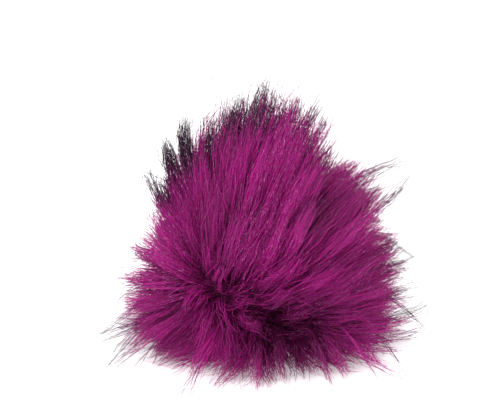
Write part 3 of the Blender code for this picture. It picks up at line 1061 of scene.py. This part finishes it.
class POMPOM_OT_underfur(bpy.types.Operator):
    """Makes the dense under-fur that hides the backing"""

    bl_idname = "pompom.underfur"
    bl_label = "Make Under-fur"

    def execute(self, context):
        mesh = bpy.data.meshes.new("underfur")
        shape = bmesh.new()
        bmesh.ops.create_icosphere(shape, subdivisions=UNDERFUR_STEPS, radius=BALL_RADIUS)
        for vertex in shape.verts:
            lump = noise.noise(vertex.co / LUMP_SIZE) * LUMP_DEPTH
            lump += noise.noise(vertex.co / UNDERFUR_GRAIN_SIZE) * UNDERFUR_GRAIN
            vertex.co += vertex.co.normalized() * lump
            vertex.co.z = max(vertex.co.z + BALL_MIDDLE.z, 0.0)
        bmesh.ops.recalc_face_normals(shape, faces=shape.faces)
        shape.to_mesh(mesh)
        shape.free()
        mesh.shade_smooth()
        mesh.materials.append(underfur_material(context.scene.pompom_colours))
        piece = bpy.data.objects.new("underfur", mesh)
        context.scene.collection.objects.link(piece)
        finish_piece(piece)
        return {"FINISHED"}


class POMPOM_OT_locks(bpy.types.Operator):
    """Grows the hair of the main locks"""

    bl_idname = "pompom.locks"
    bl_label = "Grow Main Locks"

    def execute(self, context):
        hairs = context.scene.pompom_fur.hairs
        rng = random.Random(MAIN_SEED)
        groups = [Guides() for _ in range(HALVES)]
        for direction, path, tuft in main_locks():
            if tuft is None:
                tip = path[-1][0]
                tone = tone_at(tip, rng, MAIN_TONES)
                groups[half_of(path)].add(direction, path, hairs, tone, darkness_at(tip, rng), MAIN_SPREAD)
        grow_kind(context, "main_locks", groups)
        return {"FINISHED"}


class POMPOM_OT_tufts(bpy.types.Operator):
    """Grows the long tufts that stand out of the pile"""

    bl_idname = "pompom.tufts"
    bl_label = "Grow Tufts"

    def execute(self, context):
        rng = random.Random(TUFT_SEED)
        guides = Guides()
        for direction, path, tuft in main_locks():
            if tuft:
                tip = path[-1][0]
                most = LOW_TUFT_HAIRS if tip.z < LOW_TUFT else TUFT_HAIRS
                hairs = round(most * tuft["thickness"] ** TUFT_POWER)
                guides.add(direction, path, hairs, tone_at(tip, rng, MAIN_TONES), tuft["dark"], TUFT_SPREAD)
        grow_kind(context, "tufts", [guides])
        return {"FINISHED"}


class POMPOM_OT_fill(bpy.types.Operator):
    """Grows the smaller locks that fill the pile"""

    bl_idname = "pompom.fill"
    bl_label = "Grow Fill Locks"

    def execute(self, context):
        fur = context.scene.pompom_fur
        groups = [Guides() for _ in range(HALVES)]
        for direction, path, tip, rng in loose_locks("fill_locks", fur.fill_locks):
            tone = tone_at(tip, rng, FILL_TONES)
            dark = darkness_at(tip, rng)
            groups[half_of(path)].add(direction, path, fur.fill_hairs, tone, dark, FILL_SPREAD)
        grow_kind(context, "fill_locks", groups)
        return {"FINISHED"}


class POMPOM_OT_skirt(bpy.types.Operator):
    """Grows the low locks that lie on the surface round the foot"""

    bl_idname = "pompom.skirt"
    bl_label = "Grow Skirt"

    def execute(self, context):
        fur = context.scene.pompom_fur
        rng = random.Random(SKIRT_SEED)
        guides = Guides()
        count = round(fur.skirt_locks / SKIRT_SHARE)
        for direction in root_directions(count, LOWEST_ROOT, SKIRT_JITTER, rng):
            if direction.z < SKIRT_TOP:
                tip = skirt_tip(direction, rng)
                path = lock_path(direction, tip, SKIRT_GIRTH, GUIDE_POINTS, rng)
                tone = tone_at(tip, rng, FILL_TONES)
                guides.add(direction, path, fur.fill_hairs, tone, darkness_at(tip, rng), MAIN_SPREAD)
        grow_kind(context, "skirt", [guides])
        return {"FINISHED"}


class POMPOM_OT_guard_hairs(bpy.types.Operator):
    """Grows the single long guard hairs"""

    bl_idname = "pompom.guard_hairs"
    bl_label = "Grow Guard Hairs"

    def execute(self, context):
        groups = [Guides() for _ in range(HALVES)]
        for direction, path, tip, rng in loose_locks("guard_hairs", context.scene.pompom_fur.guard_hairs):
            dark = max(darkness_at(tip, rng), GUARD_DARK * rng.random() ** 3)
            tone = tone_at(tip, rng, GUARD_TONES)
            groups[half_of(path)].add(direction, path, GUARD_HAIRS, tone, dark, GUARD_SPREAD)
        grow_kind(context, "guard_hairs", groups)
        return {"FINISHED"}


class POMPOM_OT_flyaways(bpy.types.Operator):
    """Grows the thin dark hairs that fly away from the pile"""

    bl_idname = "pompom.flyaways"
    bl_label = "Grow Flyaways"

    def execute(self, context):
        guides = Guides()
        hollows = named_rows(HOLLOW_COLUMNS, HOLLOWS)
        for direction, path, tip, rng in loose_locks("flyaways", context.scene.pompom_fur.flyaways):
            tone = rng.uniform(*FLYAWAY_TONES)
            dark = rng.uniform(*FLYAWAY_DARKS)
            if not any(near_hollow(tip, hollow) for hollow in hollows):
                guides.add(direction, path, 1, tone, dark, FLYAWAY_SPREAD)
        grow_kind(context, "flyaways", [guides])
        return {"FINISHED"}


class POMPOM_OT_wisps(bpy.types.Operator):
    """Grows the strands that curve out of the pile by themselves"""

    bl_idname = "pompom.wisps"
    bl_label = "Grow Wisps"

    def execute(self, context):
        rng = random.Random(WISP_SEED)
        guides = Guides()
        for wisp in named_rows(WISP_COLUMNS, WISPS):
            tip = row_place(wisp)
            direction = (tip - BALL_MIDDLE).normalized()
            path = lock_path(direction, tip, WISP_GIRTH, GUIDE_POINTS, rng)
            for step, (point, radius) in enumerate(path):
                point.z += wisp["bend"] * math.sin(math.pi * step / (len(path) - 1))
                point.z = max(point.z, radius)
            spread = WISP_SPREAD * wisp["hairs"] / WISP_HAIRS
            guides.add(direction, path, wisp["hairs"], tone_at(tip, rng, WISP_TONES), wisp["dark"], spread)
        grow_kind(context, "wisps", [guides])
        return {"FINISHED"}


# The stage.

PIXEL = 0.000453
PHOTO_WIDTH = 500
PHOTO_CENTRE = Vector((-0.0045, 0.0, 0.0638))
CAMERA_LENS = 120.0
SENSOR_WIDTH = 36.0
CAMERA_ELEVATION = math.radians(18)

# The floor lies just under the fur, and glows a little, as brightly lit paper looks in a photo.
FLOOR_RADIUS = 6.0
FLOOR_HEIGHT = -0.0002
FLOOR_COLOUR = (0.90, 0.90, 0.90, 1)
FLOOR_ROUGHNESS = 0.9
FLOOR_SPECULAR = 0.1
FLOOR_GLOW = 0.36
WHITE = (1, 1, 1, 1)
SKY_STRENGTH = 0.75

LIGHTS_AIM = Vector((0, 0, 0.045))
LIGHT_COLUMNS = ("name", "place", "size", "power")
LIGHTS = (
    ("key", (-0.35, -0.55, 0.85), 0.6, 7.0),
    ("fill", (0.70, -0.50, 0.35), 0.7, 2.0),
    ("top", (0.10, 0.35, 0.90), 0.6, 4.0),
)


def floor_material():
    """Plain pale paper."""
    material = bpy.data.materials.new("floor_paper")
    material.use_nodes = True
    shader = material.node_tree.nodes["Principled BSDF"]
    shader.inputs["Base Color"].default_value = FLOOR_COLOUR
    shader.inputs["Roughness"].default_value = FLOOR_ROUGHNESS
    shader.inputs["Specular IOR Level"].default_value = FLOOR_SPECULAR
    shader.inputs["Emission Color"].default_value = WHITE
    shader.inputs["Emission Strength"].default_value = FLOOR_GLOW
    return material


def make_floor(scene):
    """A wide round floor, which isn't part of the pom pom."""
    mesh = bpy.data.meshes.new("floor")
    shape = bmesh.new()
    bmesh.ops.create_circle(shape, cap_ends=True, segments=64, radius=FLOOR_RADIUS)
    bmesh.ops.translate(shape, verts=shape.verts, vec=(0, 0, FLOOR_HEIGHT))
    shape.to_mesh(mesh)
    shape.free()
    mesh.materials.append(floor_material())
    floor = bpy.data.objects.new("floor", mesh)
    scene.collection.objects.link(floor)


def make_lights(scene):
    """An even white sky and soft lights that face the pom pom."""
    world = bpy.data.worlds.new("studio")
    world.use_nodes = True
    background = world.node_tree.nodes["Background"]
    background.inputs["Color"].default_value = WHITE
    background.inputs["Strength"].default_value = SKY_STRENGTH
    scene.world = world
    for row in named_rows(LIGHT_COLUMNS, LIGHTS):
        light = bpy.data.lights.new(row["name"], "AREA")
        light.shape = "DISK"
        light.size = row["size"]
        light.energy = row["power"]
        lamp = bpy.data.objects.new(row["name"], light)
        lamp.location = row["place"]
        lamp.rotation_euler = (LIGHTS_AIM - Vector(row["place"])).to_track_quat("-Z", "Y").to_euler()
        scene.collection.objects.link(lamp)


def make_camera(scene):
    """A camera with the photo's angle and frame."""
    camera = bpy.data.cameras.new("camera")
    camera.lens = CAMERA_LENS
    camera.sensor_width = SENSOR_WIDTH
    distance = CAMERA_LENS / SENSOR_WIDTH * PIXEL * PHOTO_WIDTH
    back = Vector((0, -math.cos(CAMERA_ELEVATION), math.sin(CAMERA_ELEVATION)))
    viewer = bpy.data.objects.new("camera", camera)
    viewer.location = PHOTO_CENTRE + back * distance
    viewer.rotation_euler = (-back).to_track_quat("-Z", "Y").to_euler()
    scene.collection.objects.link(viewer)
    scene.camera = viewer
    scene.view_settings.view_transform = "Standard"


class POMPOM_OT_stage(bpy.types.Operator):
    """Makes the floor, the lights and the camera"""

    bl_idname = "pompom.stage"
    bl_label = "Make Stage"

    def execute(self, context):
        make_floor(context.scene)
        make_lights(context.scene)
        make_camera(context.scene)
        return {"FINISHED"}


class POMPOM_PT_panel(bpy.types.Panel):
    """Lists the steps that build the pom pom"""

    bl_idname = "POMPOM_PT_panel"
    bl_label = "Pom Pom"
    bl_space_type = "VIEW_3D"
    bl_region_type = "UI"
    bl_category = "Pom Pom"

    def draw(self, context):
        for operator in OPERATORS:
            self.layout.operator(operator.bl_idname)


OPERATORS = (
    POMPOM_OT_underfur,
    POMPOM_OT_locks,
    POMPOM_OT_tufts,
    POMPOM_OT_fill,
    POMPOM_OT_skirt,
    POMPOM_OT_guard_hairs,
    POMPOM_OT_flyaways,
    POMPOM_OT_wisps,
    POMPOM_OT_stage,
)
CLASSES = (PomPomColours, PomPomFur, *OPERATORS, POMPOM_PT_panel)


def register():
    for cls in CLASSES:
        bpy.utils.register_class(cls)
    bpy.types.Scene.pompom_colours = PointerProperty(type=PomPomColours)
    bpy.types.Scene.pompom_fur = PointerProperty(type=PomPomFur)


def unregister():
    del bpy.types.Scene.pompom_fur
    del bpy.types.Scene.pompom_colours
    for cls in reversed(CLASSES):
        bpy.utils.unregister_class(cls)


def main():
    register()
    bpy.ops.pompom.underfur()
    bpy.ops.pompom.locks()
    bpy.ops.pompom.tufts()
    bpy.ops.pompom.fill()
    bpy.ops.pompom.skirt()
    bpy.ops.pompom.guard_hairs()
    bpy.ops.pompom.flyaways()
    bpy.ops.pompom.wisps()
    bpy.ops.pompom.stage()


if __name__ == "__main__":
    main()
